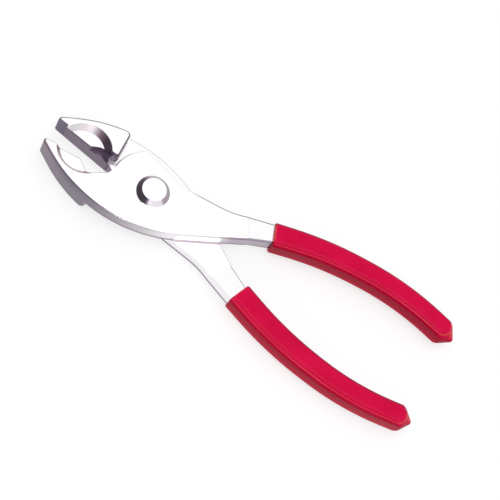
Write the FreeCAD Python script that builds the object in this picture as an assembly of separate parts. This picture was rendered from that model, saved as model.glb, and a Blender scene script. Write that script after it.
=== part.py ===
import FreeCAD, Part
import math
import os

# Decapper pliers for 20 mm crimp seals, lying on their back, drawn as seen from the front.
# Origin: where the pivot axis meets the back face. +X runs from the pivot to the handles,
# +Z from the back face to the front face. Millimetres.
#
# Both halves come from one forging shape. It is drawn closed, with its lips on the line
# y = 0, as the half in front (lower jaw, upper handle). Turned half a turn about the long
# axis it becomes the half behind. Each half then swings open by half of the seal angle.

V = FreeCAD.Vector
Z = V(0, 0, 1)
O = V(0, 0, 0)

# seal and jaws
seal_d = 20.0                 # crimp seal the pocket takes
pocket_play = 0.1             # all round the seal
pocket_depth = 2.6
pocket_run = 1.9              # how far the sloped wall runs in towards the floor
pocket_x = 29.3               # seal centre from the pivot
seal_half_angle = 6.6         # each half's swing when the pocket is a full circle
nose_x = 42.9                 # nose from the pivot
nose_land = 1.2               # flat end of the nose
nose_r = 1.3
nose_taper = 1.0              # each face falls by this much from shoulder to nose
nose_heading = -37.5          # direction the back of the jaw leaves the nose in
back_radius = 52.0            # one long curve from the nose round the hub

# hub
body_t = 10.8                 # two layers
lap_play = 0.05               # between the layers, taken off each
lap_z = body_t / 2
hub_r = 16.6                  # sweeps past the other half's shoulder
hub_sweep = 52.0              # degrees of that arc, up from the lips
ear_run = 1.95                # straight on from that arc to the hub's ear
ear_r = 3.0
hub_back = [(9.5, 7.7, 12.0), (0.0, 11.55, 15.0)]   # outer side, corners (x, y, radius)
shoulder_play = 0.5
shoulder_lean = 10.5          # degrees off square to the lips
shoulder_r = 2.0

taper_start = -hub_r - 5.4    # jaw faces start to fall here, past the shoulder's rounding
shoulder_x = -hub_r - shoulder_play

# clearance behind the pocket, corners (x, y, radius) in each half's closed position
relief_reach = 5.0            # the cutter runs this far past the lips
front_relief = [(-28.5, 0.0, 0), (-23.3, -4.8, 2.0), (-17.3, -1.3, 0.5), (-16.6, 0.0, 0)]
rear_relief = [(-28.0, 0.0, 0), (-24.6, -2.4, 3.0), (-19.0, -2.5, 1.0), (-16.5, -4.1, 0)]
stop_nib = [(-14.8, -0.8, 0), (-16.6, 0.0, 0), (-18.9, 2.1, 0.4), (-14.8, 2.1, 0)]

# handles
crotch = (30.7, -3.2)         # a point on the straight inner edge
crotch_heading = 25.5
outer_root = (29.4, 7.5)      # where the outer edge turns out to the grip
outer_root_r = 30.0
outer_heading = 16.5
lap_end = 38.5                # the handle starts to rise here, clear of the other when shut
mouth_x = 46.6                # grip mouth from the pivot
mouth_y = 8.4                 # and out from the closed lips
mouth_heading = 13.8
tail_x = 121.5                # grip tail from the pivot
tail_y = 5.2
grip_run = tail_x - mouth_x
bow = [(0.28, 12.6, 130.0), (0.71, 12.2, 105.0)]    # bends (share of the run, y, radius)
set_over = 0.4                # handle centre off the middle plane
shank_t = 6.0
shank_half_w = 3.3            # where the handle enters the grip
shank_run_in = 3.0            # the neck runs this far into the grip
neck_inset = 0.04             # keeps the neck's rounded corners clear of the rim's
neck_low_r = 0.5              # its edges on the lap side, which is ground flat
tang_half_w = 2.4             # plain bar hidden in the grip
tang_t = 4.8
tang_overlap = 0.5            # its run inside the neck's end
tang_end_r = 1.0

# grips
coat_w = 1.6
grip_half_w = shank_half_w + coat_w
grip_t = shank_t + 2 * coat_w
grip_corner = 2.4
grip_tail = 4.6               # closed end past the steel
grip_narrowing = 0.6          # each side, from mouth to tail
mouth_bevel = 0.4
end_r = 5.5                   # ball that rounds the end's corners
end_lean = 47.0               # degrees between the end's cone and the grip's line
tip_r = 1.3                   # ball at the cone's tip
tip_run = 2.7                 # tip past the tail

# pivot
head_d = 12.4
head_top_d = 9.0
head_h = 2.1
head_rim = 0.3                # upright part of its side, below the slope
bolt_d = 7.4
bolt_play = 0.04              # radial, in the half that turns on it
thread_d = 6.0
nut_d = 11.0
nut_t = 2.6
nut_sink = 0.2                # below the back face
nut_play = 0.2
nut_slot = (1.2, 0.9)         # width, depth
nut_chamfer = 0.4
nut_top = nut_sink + nut_t

edge_r = 1.0                  # rounding of the outer edges


def polar(heading):
    a = math.radians(heading)
    return V(math.cos(a), math.sin(a), 0)


def meet(p, heading_p, q, heading_q):
    """Where a line through p and a line through q cross."""
    a, b = polar(heading_p), polar(heading_q)
    d = q - p
    s = (d.x * b.y - d.y * b.x) / (a.x * b.y - a.y * b.x)
    return p + a * s


def rounded(corners, closed=True):
    """Outline from corners (x, y, radius): straight sides with tangent arcs at the corners."""
    n = len(corners)
    pts = [V(c[0], c[1], 0) for c in corners]
    ends = []
    for i, c in enumerate(corners):
        inner = closed or 0 < i < n - 1
        if c[2] <= 0 or not inner:
            ends.append((pts[i], None, pts[i]))
            continue
        u = (pts[i - 1] - pts[i]).normalize()
        w = (pts[(i + 1) % n] - pts[i]).normalize()
        half = u.getAngle(w) / 2
        run = c[2] / math.tan(half)
        mid = pts[i] + (u + w).normalize() * (c[2] / math.sin(half) - c[2])
        ends.append((pts[i] + u * run, mid, pts[i] + w * run))
    edges = []
    for i in range(n):
        a, m, b = ends[i]
        if m is not None:
            edges.append(Part.Arc(a, m, b).toShape())
        if closed or i < n - 1:
            nxt = ends[(i + 1) % n][0]
            if (nxt - b).Length > 1e-4:
                edges.append(Part.LineSegment(b, nxt).toShape())
    return edges


def heading(p, q):
    return math.degrees(math.atan2(q.y - p.y, q.x - p.x))


def centre_line():
    """Corners of the handle's centre line, grip mouth to tail."""
    bends = [V(mouth_x + share * grip_run, y, 0) for share, y, r in bow]
    return [V(mouth_x, mouth_y, 0)] + bends + [V(tail_x, tail_y, 0)]


def bar_outline(half_w, narrowing, late, short, end_r):
    """Plan of a bowed bar on the handle's centre line, from past the mouth to short of the tail."""
    line = centre_line()
    first, middle, last = [heading(line[i], line[i + 1]) for i in range(3)]
    line[0] = line[0] + polar(mouth_heading) * late
    line[3] = line[3] - polar(last) * short
    square = [mouth_heading, (first + middle) / 2, (middle + last) / 2, last]
    outer, inner = [], []
    for i, (p, way) in enumerate(zip(line, square)):
        w = half_w - narrowing * (p.x - mouth_x) / grip_run
        bend = bow[i - 1][2] if 0 < i < 3 else 0
        out, back = p + polar(way + 90) * w, p - polar(way + 90) * w
        if i == 3:
            outer.append((out.x, out.y, end_r))
            inner.append((back.x, back.y, end_r))
        else:
            outer.append((out.x, out.y, bend + w if bend else 0))
            inner.append((back.x, back.y, bend - w if bend else 0))
    return outer + inner[::-1]


def face_of(edges):
    return Part.Face(Part.Wire(Part.__sortEdges__(edges)))


def outline(points):
    return Part.Face(Part.makePolygon(points + points[:1]))


def bar_z(t):
    """Bottom and top of a bar of that thickness on the handle's middle plane."""
    mid = lap_z + set_over
    return mid - t / 2, mid + t / 2


def prism(face, z0, z1):
    solid = face.extrude(V(0, 0, z1 - z0))
    solid.translate(V(0, 0, z0))
    return solid


def half_plan():
    """Plan of one half, closed, up to where its handle takes over: lip, nose, back, hub."""
    root = V(crotch[0], crotch[1], 0)
    nose = V(-nose_x, -nose_land, 0)
    back = meet(nose, nose_heading, root, crotch_heading)
    a, b = lap_line()
    hub_top = hub_r * math.tan(math.radians(hub_sweep / 2))
    ear = polar(180 - hub_sweep) * hub_r + polar(90 - hub_sweep) * ear_run
    return face_of(rounded([
        (-hub_r, 0, 0),
        (-nose_x, 0, 0),
        (-nose_x, -nose_land, nose_r),
        (back.x, back.y, back_radius),
        (a.x, a.y, 0),
        (b.x, b.y, 0),
        (outer_root[0], outer_root[1], outer_root_r),
        *hub_back,
        (ear.x, ear.y, ear_r),
        (-hub_r, hub_top, hub_r),
    ]))


def lap_line():
    """Across the handle where the lap ends: a point on the inner and one on the outer edge."""
    a = meet(V(crotch[0], crotch[1], 0), crotch_heading, V(lap_end, 0, 0), 90)
    square = (crotch_heading + outer_heading) / 2 + 90
    b = meet(V(outer_root[0], outer_root[1], 0), outer_heading, a, square)
    return a, b


def tapered(solid):
    """Thin the jaw evenly towards its nose."""
    drop = drop_at(-tail_x)
    side = face_of(rounded([
        (-tail_x, drop, 0), (taper_start, 0, 0), (tail_x, 0, 0),
        (tail_x, body_t, 0), (taper_start, body_t, 0), (-tail_x, body_t - drop, 0),
    ])).extrude(V(0, 0, 2 * tail_x))
    side.rotate(O, V(1, 0, 0), 90)
    side.translate(V(0, tail_x, 0))
    return solid.common(side)


def jaw_block(plan):
    """The jaw below its own layer, from the nose to the rounded shoulder."""
    lean = nose_x * math.tan(math.radians(shoulder_lean))
    past = -2 * nose_x
    jaw = face_of(rounded([
        (past, hub_r, 0), (past, -nose_x, 0), (shoulder_x - lean, -nose_x, 0),
        (shoulder_x, 0, 0), (shoulder_x, hub_r, 0),
    ]))
    block = prism(plan.common(jaw), 0, lap_z + lap_play).Solids[0]
    corner = [e for e in block.Edges if is_upright(e)
              and e.BoundBox.XMax < shoulder_x and e.BoundBox.YMax < -hub_r / 2]
    return block.makeFillet(shoulder_r, corner)


def is_upright(e):
    return e.BoundBox.XLength < 1e-4 and e.BoundBox.YLength < 1e-4


def slope(face, p):
    """How level a face is at a point: 1 for level, 0 for upright."""
    u, v = face.Surface.parameter(p)
    return abs(face.normalAt(u, v).z)


def is_rim(solid, e):
    """Outer edge between a level and an upright face, away from lips, lap and handle."""
    p = e.valueAt((e.FirstParameter + e.LastParameter) / 2)
    levels = [slope(f, p) for f in solid.ancestorsOfType(e, Part.Face)]
    if len(levels) != 2 or max(levels) < 0.8 or min(levels) > 0.2:
        return False
    on_lip = abs(p.y) < 0.01 and p.x < -hub_r + 0.1
    on_lap = abs(p.z - lap_z) < 2 * lap_play
    end_in, end_out = lap_line()
    on_end = p.x > end_out.x and p.y > end_in.y
    return not (on_lip or on_lap or on_end)


def neck():
    """Joggles from the half's own layer to the middle plane: a side profile cut to the plan."""
    end_in, end_out = lap_line()
    end = V(mouth_x, mouth_y, 0) + polar(mouth_heading) * shank_run_in
    square = mouth_heading + 90
    in_mouth = meet(V(crotch[0], crotch[1], 0), crotch_heading, end, square)
    out_mouth = meet(V(outer_root[0], outer_root[1], 0), outer_heading, end, square)
    inset = (end_out - end_in).normalize() * neck_inset
    plan = outline([end_in + inset, in_mouth, out_mouth, end_out - inset])
    run = (in_mouth - end_in).Length
    low, high = bar_z(shank_t)
    side = outline([V(0, 0, lap_z + lap_play), V(run, 0, low), V(run, 0, high),
                    V(0, 0, body_t - neck_inset)]).extrude(V(0, 2 * outer_root_r, 0))
    side.translate(V(0, -outer_root_r, 0))
    side.rotate(O, Z, heading(end_in, end_out) - 90)
    side.translate(end_in)
    bar = prism(plan, 0, body_t).common(side).Solids[0]
    along = [e for e in bar.Edges if e.BoundBox.XLength > run / 2]
    level = (low + high) / 2
    bar = bar.makeFillet(edge_r, [e for e in along if e.CenterOfMass.z > level])
    along = [e for e in bar.Edges if e.BoundBox.XLength > run / 2 and e.CenterOfMass.z < level
             and min(slope(f, e.CenterOfMass) for f in bar.ancestorsOfType(e, Part.Face)) < 0.1]
    return bar.makeFillet(neck_low_r, along)


def tang():
    """The plain bar inside the grip."""
    late = shank_run_in - tang_overlap
    plan = face_of(rounded(bar_outline(tang_half_w, 0, late, grip_tail, tang_end_r)))
    return prism(plan, *bar_z(tang_t))


def half_blank():
    """One half as forged, closed, lying as the half in front."""
    plan = half_plan()
    own = prism(plan, lap_z + lap_play, body_t)
    head = tapered(own.fuse(jaw_block(plan)).removeSplitter()).removeSplitter().Solids[0]
    head = head.makeFillet(edge_r, [e for e in head.Edges if is_rim(head, e)])
    return head.fuse([neck(), tang()])


def drop_at(x):
    """How far the jaw's front face has fallen below the hub's at x."""
    return nose_taper * (x - taper_start) / (-nose_x - taper_start)


def pocket_cutter():
    """Cone for the seal: full round at the face, sloping in to the floor."""
    face_z = body_t - drop_at(-pocket_x)
    r = seal_d / 2 + pocket_play
    over = nose_taper
    grow = pocket_run / pocket_depth * over
    cone = Part.makeCone(r - pocket_run, r + grow, pocket_depth + over)
    cone.translate(V(-pocket_x, 0, face_z - pocket_depth))
    return cone


def relief_cutter(corners, side):
    """Clearance behind the pocket, through the front layer only."""
    outline = corners + [(corners[-1][0], relief_reach, 0), (corners[0][0], relief_reach, 0)]
    face = face_of(rounded([(x, y * side, r) for x, y, r in outline]))
    return prism(face, lap_z - lap_play, body_t + 1)


def bore(d, z0, z1):
    return Part.makeCylinder(d / 2, z1 - z0, V(0, 0, z0))


def front_half():
    half = half_blank().cut(relief_cutter(front_relief, 1))
    nib = prism(face_of(rounded(stop_nib)), lap_z + lap_play, body_t)
    half = half.fuse(nib).cut(bore(bolt_d, 0, body_t))
    half.rotate(O, Z, seal_half_angle)
    return half.cut(pocket_cutter()).removeSplitter().Solids[0]


def rear_half():
    half = half_blank()
    half.rotate(V(0, 0, lap_z), V(1, 0, 0), 180)
    half = half.cut(relief_cutter(rear_relief, -1))
    half = half.cut(bore(bolt_d + 2 * bolt_play, 0, body_t))
    half = half.cut(bore(nut_d + 2 * nut_play, 0, nut_top + lap_play))
    half.rotate(O, Z, -seal_half_angle)
    return half.cut(pocket_cutter()).removeSplitter().Solids[0]


def pivot_bolt():
    """Low head with a sloped side, plain bearing, thinner threaded end in the nut."""
    head = bore(head_d, body_t, body_t + head_rim)
    cap = Part.makeCone(head_d / 2, head_top_d / 2, head_h - head_rim, V(0, 0, body_t + head_rim))
    bearing = bore(bolt_d, nut_top, body_t)
    thread = bore(thread_d, nut_sink + nut_slot[1], nut_top)
    return head.fuse([cap, bearing, thread]).removeSplitter().Solids[0]


def pivot_nut():
    """Round nut, flush in the back, slotted right across for a fork driver."""
    nut = bore(nut_d, nut_sink, nut_top)
    rim = [e for e in nut.Edges if e.BoundBox.ZMax < nut_sink + 0.01]
    nut = nut.makeChamfer(nut_chamfer, rim)
    slot = Part.makeBox(nut_d, nut_slot[0], nut_slot[1])
    slot.translate(V(-nut_d / 2, -nut_slot[0] / 2, nut_sink))
    return nut.cut(bore(thread_d, 0, nut_top)).cut(slot).removeSplitter().Solids[0]


def pointer():
    """Turned form whose end shapes the grip's tail: a cone between a large and a small ball."""
    line = centre_line()
    back = 2 * grip_run
    tip = V(tip_run, tip_r / math.tan(math.radians(90 + end_lean) / 2), 0)
    shoulder = meet(tip, 180 - end_lean, V(0, end_r, 0), 0)
    form = face_of(rounded([
        (-back, 0, 0), (-back, back, 0), (shoulder.x - end_r, back, 0),
        (shoulder.x - end_r, end_r, 0), (shoulder.x, end_r, end_r),
        (tip.x, tip.y, tip_r), (tip.x, 0, 0),
    ])).revolve(O, V(1, 0, 0), 360)
    form.rotate(O, Z, heading(line[2], line[3]))
    form.translate(line[3] + Z * (lap_z + set_over))
    return form


def grip_blank():
    """Dipped sleeve over the front half's handle, with a pointed drip at its closed end."""
    plan = face_of(rounded(bar_outline(grip_half_w, grip_narrowing, 0, -tip_run, 0)))
    sleeve = prism(plan, *bar_z(grip_t)).Solids[0]
    mouth = V(mouth_x, mouth_y, 0)
    line = centre_line()
    ends = [(mouth, polar(mouth_heading)), (line[3], polar(heading(line[2], line[3])))]
    rims = [e for e in sleeve.Edges if e.BoundBox.ZLength < 1e-4
            and all(abs((e.CenterOfMass - p).dot(way)) > tip_run + 1e-3 for p, way in ends)]
    sleeve = sleeve.makeFillet(grip_corner, rims)
    inward = polar(mouth_heading)
    lip = [e for e in sleeve.Edges
           if all(abs((v.Point - mouth).dot(inward)) < 1e-3 for v in e.Vertexes)]
    return sleeve.makeChamfer(mouth_bevel, lip).common(pointer())


def front_grip(steel):
    grip = grip_blank()
    grip.rotate(O, Z, seal_half_angle)
    return grip.cut(steel).removeSplitter().Solids[0]


def rear_grip(steel):
    grip = grip_blank()
    grip.rotate(V(0, 0, lap_z), V(1, 0, 0), 180)
    grip.rotate(O, Z, -seal_half_angle)
    return grip.cut(steel).removeSplitter().Solids[0]


front = front_half()
rear = rear_half()
nodes = {
    "front_half": front,
    "rear_half": rear,
    "pivot_bolt": pivot_bolt(),
    "pivot_nut": pivot_nut(),
    "front_grip": front_grip(front),
    "rear_grip": rear_grip(rear),
}
os.makedirs("parts", exist_ok=True)
for name, shape in nodes.items():
    shape.exportStep("parts/%s.step" % name)
    print(name, shape.isValid(), round(shape.Volume), shape.BoundBox)
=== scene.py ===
import bpy
import math
from mathutils import Matrix, Vector

# Decapper pliers: plated forged steel with dipped vinyl grips, lying on a white table.
# Lengths are metres. The origin is the pivot axis at the table, +X runs to the handles.

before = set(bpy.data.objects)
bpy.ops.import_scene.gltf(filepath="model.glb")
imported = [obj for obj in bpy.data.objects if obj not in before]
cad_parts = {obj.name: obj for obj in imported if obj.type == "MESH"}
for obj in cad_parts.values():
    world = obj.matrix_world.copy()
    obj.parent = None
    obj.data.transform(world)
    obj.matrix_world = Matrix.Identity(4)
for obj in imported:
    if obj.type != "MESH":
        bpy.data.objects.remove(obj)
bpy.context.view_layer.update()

MM = 0.001

# camera, as fitted to the photographed outline; angles in degrees, azimuth from straight in front
CAMERA_PLACE = (5.97 * MM, -254.2 * MM, 484.1 * MM)
CAMERA_AZIMUTH = -6.02
CAMERA_ELEVATION = 61.30
CAMERA_ROLL = 38.39
CAMERA_LENS = 107.85
CAMERA_FILM = 36.0
CAMERA_SHIFT = (0.03, -0.03)

# table and studio
TABLE_REACH = 3.0
TABLE_TONE = "#D8D8DA"
TABLE_PLAIN = 0.7             # how much of the table is plain white to the eye
SKY_STRENGTH = 1.0
SKY_TOP = (0.0, 0.25, 0.97)   # the brightest part of the sky
AIM = (0.03, 0.0, 0.0)        # the middle of the pliers
KEY = {"place": (0.10, -0.12, 1.0), "aim": AIM, "size": 0.8, "power": 3.0}
RIDGE = {"place": (0.10, -0.88, 0.47), "aim": (0.06, 0.0, 0.0), "size": 0.12, "power": 1.0}

# places on the steel halves that their tones follow
NOSE_X = -43 * MM
GRIP_X = 48 * MM
POCKET_X = -29.3 * MM
POCKET_R = 10.1 * MM
POCKET_FLOOR = 7.85 * MM
NECK_START = 35.2 * MM        # along the handle, from the pivot
NECK_RUN = 14.0 * MM
FOOT_FADE = 0.4 * MM
# how far in from a sharp edge its thin painted shade line reaches
EDGE_LINE_RADIUS = 0.45 * MM

# Flank tones run from the nose (0) to where the handle enters the grip (1), those of the pocket
# across it. Near is the side of -Y. The foot is a line along the near side, up to a height that
# rises or falls with the neck, and handle is the direction in which the neck runs. These tones
# are painted reflections and painted shade on the flanks, far rims, foot, pocket wall and relief.
BRIGHT = "#F4F2F5"
FRONT_TONES = {
    "near": [(0.0, "#82727E"), (0.1, "#796F80"), (0.19, "#756C79"), (0.31, "#857C87"),
             (0.42, "#A7A1A8"), (0.53, "#CCCACE"), (0.62, BRIGHT), (0.78, BRIGHT),
             (0.84, "#B4ABB6"), (1.0, "#A79EAB")],
    "far": [(0.275, "#6E6872"), (0.287, BRIGHT), (0.6, BRIGHT), (0.64, "#6E6872")],
    "foot": [(0.0, "#7E7280"), (0.31, "#857C87"), (0.5, "#A79AA4"), (0.8, "#A08C98")],
    "pocket": [(0.0, "#C8B8C0"), (1.0, "#C8B8C0")],
    "relief": BRIGHT,
    "foot_height": 6.9 * MM,
    "neck_rise": -2.6 * MM,
    "handle": (0.857, 0.515, 0.0)}
REAR_TONES = {
    "near": [(0.0, "#6A6074"), (0.31, "#5A4E5C"), (0.36, "#B4ABB2"), (0.45, "#D8D2D6"),
             (0.6, BRIGHT), (1.0, BRIGHT)],
    "far": [(0.0, "#6E6872"), (1.0, "#5E5862")],
    "foot": [(0.0, "#6A6074"), (0.31, "#6A6074"), (0.5, "#857686"), (1.0, "#857686")],
    "pocket": [(0.0, "#FFFFFF"), (0.42, "#F0EAED"), (0.6, "#8A7482"), (0.75, "#4C404A"),
               (0.95, "#4C404A")],
    "relief": "#7A6C7C",
    "foot_height": 1.9 * MM,
    "neck_rise": 2.0 * MM,
    "handle": (0.857, -0.515, 0.0)}
# the bright plate of the level faces, and painted shade on end faces that look along +X
LEVEL_FACE_TONE = "#FCFBFD"
SHOULDER_SHADE_TONE = "#BDB0B6"


def linear(hex_colour):
    """sRGB hex to the linear colour that Blender's nodes take."""
    parts = [int(hex_colour[i:i + 2], 16) / 255 for i in (1, 3, 5)]
    return tuple(c / 12.92 if c <= 0.04045 else ((c + 0.055) / 1.055) ** 2.4 for c in parts) + (1.0,)


def add_node(tree, kind, inputs, stops=(), **settings):
    """Adds a node with its settings. Each input is set to a number, a vector or an sRGB hex
    colour, or linked to another node's output. Stops are the places and hex colours of a ramp."""
    node = tree.nodes.new(kind)
    for name, value in settings.items():
        setattr(node, name, value)
    for name, value in inputs.items():
        if isinstance(value, bpy.types.NodeSocket):
            tree.links.new(value, node.inputs[name])
        else:
            node.inputs[name].default_value = linear(value) if isinstance(value, str) else value
    if stops:
        elements = node.color_ramp.elements
        while len(elements) < len(stops):
            elements.new(1.0)
        for element, (position, tone) in zip(elements, stops):
            element.position = position
            element.color = linear(tone)
    return node


def shares(tree, spans):
    """For each named (value, low, high), how far the value is from low to high, from 0 to 1."""
    return {name: add_node(tree, "ShaderNodeMapRange",
                           {"Value": value, "From Min": low, "From Max": high}).outputs["Result"]
            for name, (value, low, high) in spans.items()}


def layered(tree, tone, layers):
    """A tone with others laid over it in turn, each by its share."""
    for share, over in layers:
        tone = add_node(tree, "ShaderNodeMix", {0: share, 6: tone, 7: over}, data_type="RGBA").outputs[2]
    return tone


def new_tree(name):
    """An empty material and its tree."""
    material = bpy.data.materials.new(name)
    material.use_nodes = True
    material.node_tree.nodes.clear()
    return material, material.node_tree


def plated_forged_steel(name, tones):
    """Satin chromium plate over forged steel. The level faces are bright. The flanks carry
    painted reflections and shade in a darker slate, darkest round the hardened jaws and
    brightest behind the pivot, with a painted dark line along their foot and painted shade
    on the far rims and end shoulders. The bored pocket is bright with painted shade at its
    inner end. A thin painted shade line runs along the sharp edges, and soft waves left by
    the forging bend the reflections a little."""
    wave_size = 9 * MM
    wave_depth = 0.35 * MM
    grind_pitch = 0.5 * MM        # finer in truth, drawn coarse enough to show
    grind_depth = 0.05 * MM
    grind_stretch = (0.06, 1.0, 0.5)
    milled = 0.25                 # how much rougher the pocket is than the ground faces
    material, tree = new_tree(name)
    texture = add_node(tree, "ShaderNodeTexCoord", {})
    place = texture.outputs["Object"]
    spot = add_node(tree, "ShaderNodeSeparateXYZ", {"Vector": place})

    # the direction that a face looks in, turned a little along its sharp edges, so that the
    # flank tones show there as a thin painted shade line
    edge_rounding = add_node(tree, "ShaderNodeBevel", {"Radius": EDGE_LINE_RADIUS}, samples=8)
    facing = add_node(tree, "ShaderNodeVectorTransform", {"Vector": edge_rounding.outputs["Normal"]},
                      vector_type="NORMAL", convert_from="WORLD", convert_to="OBJECT")
    normal = add_node(tree, "ShaderNodeSeparateXYZ", {"Vector": facing.outputs["Vector"]})
    level = add_node(tree, "ShaderNodeMath", {0: normal.outputs["Z"]}, operation="ABSOLUTE")

    # how far a spot is from the pocket's axis, and how far out along the handle
    flat = add_node(tree, "ShaderNodeMapping", {"Vector": place, "Scale": (1, 1, 0)})
    radius = add_node(tree, "ShaderNodeVectorMath",
                      {0: flat.outputs["Vector"], 1: (POCKET_X, 0, 0)}, operation="DISTANCE")
    outward = add_node(tree, "ShaderNodeVectorMath", {0: place, 1: tones["handle"]},
                       operation="DOT_PRODUCT")
    neck = add_node(tree, "ShaderNodeMapRange",
                    {"Value": outward.outputs["Value"], "From Min": NECK_START,
                     "From Max": NECK_START + NECK_RUN, "To Max": tones["neck_rise"]})
    height = add_node(tree, "ShaderNodeMath", {0: spot.outputs["Z"], 1: neck.outputs["Result"]},
                      operation="SUBTRACT")
    foot_top = tones["foot_height"]
    share = shares(tree, {
        "along": (spot.outputs["X"], NOSE_X, GRIP_X),
        "across pocket": (spot.outputs["X"], POCKET_X - POCKET_R, POCKET_X + POCKET_R),
        "foot": (height.outputs[0], foot_top, foot_top - FOOT_FADE),
        "far side": (normal.outputs["Y"], -0.05, 0.15),
        "end": (normal.outputs["X"], 0.75, 0.9),
        "near axis": (radius.outputs["Value"], POCKET_R + 0.2 * MM, POCKET_R + 0.1 * MM),
        "over floor": (spot.outputs["Z"], POCKET_FLOOR, POCKET_FLOOR + 0.1 * MM),
        "under floor": (spot.outputs["Z"], POCKET_FLOOR - 0.8 * MM, POCKET_FLOOR - 1.2 * MM),
        "level": (level.outputs[0], 0.91, 0.975)})
    in_pocket, in_relief = [
        add_node(tree, "ShaderNodeMath", {0: share["near axis"], 1: share[part]},
                 operation="MULTIPLY").outputs[0]
        for part in ("over floor", "under floor")]
    ramps = {side: add_node(tree, "ShaderNodeValToRGB", {"Fac": share[run]}, stops=tones[side])
             for side, run in (("near", "along"), ("far", "along"), ("foot", "along"),
                               ("pocket", "across pocket"))}
    # painted reflection and shade: the near tones, with the painted dark foot line, the far rims, painted
    # shade on the end shoulders, the pocket wall, the bright level faces and the relief laid over them in
    # turn
    tint = layered(tree, ramps["near"].outputs["Color"],
                   [(share["foot"], ramps["foot"].outputs["Color"]),
                    (share["far side"], ramps["far"].outputs["Color"]),
                    (share["end"], SHOULDER_SHADE_TONE),
                    (in_pocket, ramps["pocket"].outputs["Color"]),
                    (share["level"], LEVEL_FACE_TONE),
                    (in_relief, tones["relief"])])

    waves = add_node(tree, "ShaderNodeTexNoise",
                     {"Vector": place, "Scale": 1 / wave_size, "Detail": 2.0})
    drawn = add_node(tree, "ShaderNodeMapping", {"Vector": place, "Scale": grind_stretch})
    grind = add_node(tree, "ShaderNodeTexNoise",
                     {"Vector": drawn.outputs["Vector"], "Scale": 1 / grind_pitch, "Detail": 3.0})
    swell = add_node(tree, "ShaderNodeBump", {"Height": waves.outputs["Fac"], "Strength": 0.12,
                                              "Distance": wave_depth})
    lines = add_node(tree, "ShaderNodeBump",
                     {"Height": grind.outputs["Fac"], "Normal": swell.outputs["Normal"],
                      "Strength": 0.05, "Distance": grind_depth})
    ground = add_node(tree, "ShaderNodeMapRange", {"Value": grind.outputs["Fac"], "From Min": 0.3,
                                                   "From Max": 0.7, "To Min": 0.20, "To Max": 0.30})
    rough = add_node(tree, "ShaderNodeMath",
                     {0: in_pocket, 1: milled, 2: ground.outputs["Result"]}, operation="MULTIPLY_ADD")
    shader = add_node(tree, "ShaderNodeBsdfPrincipled",
                      {"Base Color": tint, "Metallic": 1.0, "Roughness": rough.outputs[0],
                       "Normal": lines.outputs["Normal"]})
    add_node(tree, "ShaderNodeOutputMaterial", {"Surface": shader.outputs["BSDF"]})
    return material


def turned_bolt_steel():
    """Chromium plated turned steel: a bright faced top, a sloped side with painted reflections,
    painted shade towards -X and -Y and a painted highlight towards +X and -Y, and fine rings
    round the pivot axis from the lathe tool."""
    ring_pitch = 2.2 * MM         # the lathe's rings are finer, drawn coarse enough to show
    ring_depth = 0.05 * MM
    # the ways in which the slope gets painted shade and a painted highlight
    shade_way = (-0.6, -0.8, 0.0)
    glint_way = (0.62, -0.79, 0.0)
    material, tree = new_tree("chrome plated turned steel")
    texture = add_node(tree, "ShaderNodeTexCoord", {})
    facing = texture.outputs["Normal"]
    normal = add_node(tree, "ShaderNodeSeparateXYZ", {"Vector": facing})
    level = add_node(tree, "ShaderNodeMath", {0: normal.outputs["Z"]}, operation="ABSOLUTE")
    to_shade, to_glint = [
        add_node(tree, "ShaderNodeVectorMath", {0: facing, 1: way}, operation="DOT_PRODUCT")
        for way in (shade_way, glint_way)]
    share = shares(tree, {"shadow side": (to_shade.outputs["Value"], -0.7, 0.7),
                          "glint": (to_glint.outputs["Value"], 0.62, 0.68),
                          "level": (level.outputs[0], 0.8, 0.95)})
    # painted reflections round the slope: painted shade on one side, then the painted highlight and the
    # bright top laid over it
    slope = add_node(tree, "ShaderNodeValToRGB", {"Fac": share["shadow side"]},
                     stops=[(0.0, "#A79CA6"), (0.4, "#B8ACB4"), (0.65, "#5C525E"), (1.0, "#4A404C")])
    tint = layered(tree, slope.outputs["Color"],
                   [(share["glint"], "#FAF6F8"), (share["level"], "#FAF9FB")])
    rings = add_node(tree, "ShaderNodeTexWave",
                     {"Vector": texture.outputs["Object"], "Scale": 1 / ring_pitch,
                      "Distortion": 0.6, "Detail": 1.0},
                     wave_type="RINGS", rings_direction="Z")
    bump = add_node(tree, "ShaderNodeBump", {"Height": rings.outputs["Fac"], "Strength": 0.06,
                                             "Distance": ring_depth})
    rough = add_node(tree, "ShaderNodeMapRange", {"Value": rings.outputs["Fac"], "To Min": 0.20,
                                                  "To Max": 0.30})
    shader = add_node(tree, "ShaderNodeBsdfPrincipled",
                      {"Base Color": tint, "Metallic": 1.0, "Roughness": rough.outputs["Result"],
                       "Normal": bump.outputs["Normal"]})
    add_node(tree, "ShaderNodeOutputMaterial", {"Surface": shader.outputs["BSDF"]})
    return material


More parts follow.
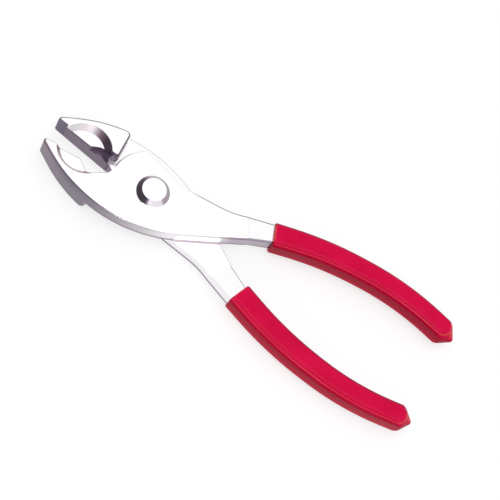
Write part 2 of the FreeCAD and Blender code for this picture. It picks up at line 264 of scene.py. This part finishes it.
def dipped_vinyl():
    """PVC plastisol, dip moulded and cured in air: a glossy, slightly uneven red skin. The far
    edges carry painted shade in a deeper red. A thin pale line of painted highlight runs along
    the top corners, above sides with painted shade that grows darker towards it."""
    sag_size = 7 * MM
    sag_depth = 0.2 * MM
    side_low = 2.5 * MM
    side_high = 6.0 * MM
    material, tree = new_tree("dipped PVC plastisol, red")
    texture = add_node(tree, "ShaderNodeTexCoord", {})
    place = texture.outputs["Object"]
    spot = add_node(tree, "ShaderNodeSeparateXYZ", {"Vector": place})
    normal = add_node(tree, "ShaderNodeSeparateXYZ", {"Vector": texture.outputs["Normal"]})
    lifted = normal.outputs["Z"]
    share = shares(tree, {"up the side": (spot.outputs["Z"], side_low, side_high),
                          "top": (lifted, 0.35, 0.6),
                          "over the corner's foot": (lifted, 0.63, 0.70),
                          "under its top": (lifted, 0.78, 0.71),
                          "far edge shade": (normal.outputs["Y"], 0.3, 0.8)})
    sag = add_node(tree, "ShaderNodeTexNoise", {"Vector": place, "Scale": 1 / sag_size, "Detail": 3.0})
    # painted shade: the sides are lighter near the table and darker higher up
    side = add_node(tree, "ShaderNodeValToRGB", {"Fac": share["up the side"]},
                    stops=[(0.0, "#D8003A"), (1.0, "#B40030")])
    skin = add_node(tree, "ShaderNodeValToRGB", {"Fac": sag.outputs["Fac"]},
                    stops=[(0.3, "#C40038"), (0.7, "#D00442")])
    # a narrow band of the top corners, for the painted highlight
    glint = add_node(tree, "ShaderNodeMath", {0: share["over the corner's foot"],
                                               1: share["under its top"]}, operation="MULTIPLY")
    # the top's own uneven red, then the painted highlight and the painted shade of the far edges
    tint = layered(tree, side.outputs["Color"],
                   [(share["top"], skin.outputs["Color"]), (glint.outputs[0], "#DC4446"),
                    (share["far edge shade"], "#800438")])
    bump = add_node(tree, "ShaderNodeBump", {"Height": sag.outputs["Fac"], "Strength": 0.15,
                                             "Distance": sag_depth})
    rough = add_node(tree, "ShaderNodeMapRange", {"Value": sag.outputs["Fac"], "From Min": 0.3,
                                                  "From Max": 0.7, "To Min": 0.16, "To Max": 0.22})
    shader = add_node(tree, "ShaderNodeBsdfPrincipled",
                      {"Base Color": tint, "Roughness": rough.outputs["Result"], "IOR": 1.53,
                       "Specular IOR Level": 0.06, "Normal": bump.outputs["Normal"]})
    add_node(tree, "ShaderNodeOutputMaterial", {"Surface": shader.outputs["BSDF"]})
    return material


def seen_rays(tree):
    """1 for rays seen direct or in a reflection, 0 for those that only light things."""
    path = add_node(tree, "ShaderNodeLightPath", {})
    seen = path.outputs["Is Camera Ray"]
    for kind in ("Is Glossy Ray", "Is Transmission Ray"):
        seen = add_node(tree, "ShaderNodeMath", {0: seen, 1: path.outputs[kind]},
                        operation="MAXIMUM").outputs[0]
    return seen


def white_table():
    """Matt white laminate. Seen direct or in a reflection it is plain white, less its shadow."""
    material, tree = new_tree("matt white laminate")
    seen = seen_rays(tree)
    shader = add_node(tree, "ShaderNodeBsdfPrincipled",
                      {"Base Color": layered(tree, TABLE_TONE, [(seen, "#FFFFFF")]), "Roughness": 0.75})
    plain = add_node(tree, "ShaderNodeEmission", {})
    share = add_node(tree, "ShaderNodeMath", {0: seen, 1: TABLE_PLAIN}, operation="MULTIPLY")
    mix = add_node(tree, "ShaderNodeMixShader",
                   {0: share.outputs[0], 1: shader.outputs["BSDF"], 2: plain.outputs["Emission"]})
    add_node(tree, "ShaderNodeOutputMaterial", {"Surface": mix.outputs["Shader"]})
    return material


turned = turned_bolt_steel()
vinyl = dipped_vinyl()
FINISHES = {"front_half": plated_forged_steel("chrome plated forged steel, front", FRONT_TONES),
            "rear_half": plated_forged_steel("chrome plated forged steel, rear", REAR_TONES),
            "pivot_bolt": turned, "pivot_nut": turned,
            "front_grip": vinyl, "rear_grip": vinyl}
for node, material in FINISHES.items():
    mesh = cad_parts[node].data
    mesh.materials.clear()
    mesh.materials.append(material)


def table_top(reach):
    """A level square at the height of the tool's back face."""
    mesh = bpy.data.meshes.new("table")
    mesh.from_pydata([(-reach, -reach, 0), (reach, -reach, 0), (reach, reach, 0), (-reach, reach, 0)],
                     [], [(0, 1, 2, 3)])
    mesh.materials.append(white_table())
    sheet = bpy.data.objects.new("table", mesh)
    bpy.context.scene.collection.objects.link(sheet)
    return sheet


table = table_top(TABLE_REACH)


def area_light(name, place, aim, size, power):
    """A square soft light turned towards a point."""
    light = bpy.data.lights.new(name, "AREA")
    light.shape = "SQUARE"
    light.size = size
    light.energy = power
    lamp = bpy.data.objects.new(name, light)
    lamp.location = place
    lamp.rotation_euler = (Vector(aim) - Vector(place)).to_track_quat("-Z", "Y").to_euler()
    bpy.context.scene.collection.objects.link(lamp)


area_light("key", **KEY)
area_light("ridge", **RIDGE)


def studio_sky():
    """White overhead, falling to grey at the horizon, less so where it is seen or reflected."""
    world = bpy.data.worlds.new("studio")
    world.use_nodes = True
    tree = world.node_tree
    tree.nodes.clear()
    heading = add_node(tree, "ShaderNodeTexCoord", {}).outputs["Generated"]
    lift = add_node(tree, "ShaderNodeVectorMath", {0: heading, 1: SKY_TOP}, operation="DOT_PRODUCT")
    lighting, shown = [
        add_node(tree, "ShaderNodeValToRGB", {"Fac": lift.outputs["Value"]}, stops=stops).outputs["Color"]
        for stops in ([(0.0, "#5C5860"), (0.3, "#A8A4AC"), (0.75, "#FFFFFF")],
                      [(0.0, "#E4E2E6"), (0.75, "#FFFFFF")])]
    sky = layered(tree, lighting, [(seen_rays(tree), shown)])
    lit = add_node(tree, "ShaderNodeBackground", {"Color": sky, "Strength": SKY_STRENGTH})
    add_node(tree, "ShaderNodeOutputWorld", {"Surface": lit.outputs["Background"]})
    return world


bpy.context.scene.world = studio_sky()

camera = bpy.data.cameras.new("camera")
camera.lens = CAMERA_LENS
camera.sensor_width = CAMERA_FILM
camera.shift_x, camera.shift_y = CAMERA_SHIFT
viewer = bpy.data.objects.new("camera", camera)
turn = math.radians(CAMERA_AZIMUTH)
lift = math.radians(CAMERA_ELEVATION)
roll = math.radians(CAMERA_ROLL)
back = Vector((math.sin(turn) * math.cos(lift), -math.cos(turn) * math.cos(lift), math.sin(lift)))
sideways = Vector((math.cos(turn), math.sin(turn), 0))
upright = back.cross(sideways)
right = sideways * math.cos(roll) + upright * math.sin(roll)
up = upright * math.cos(roll) - sideways * math.sin(roll)
viewer.matrix_world = Matrix.Translation(CAMERA_PLACE) @ Matrix((right, up, back)).transposed().to_4x4()
bpy.context.scene.collection.objects.link(viewer)
bpy.context.scene.camera = viewer
bpy.context.scene.view_settings.view_transform = "Standard"
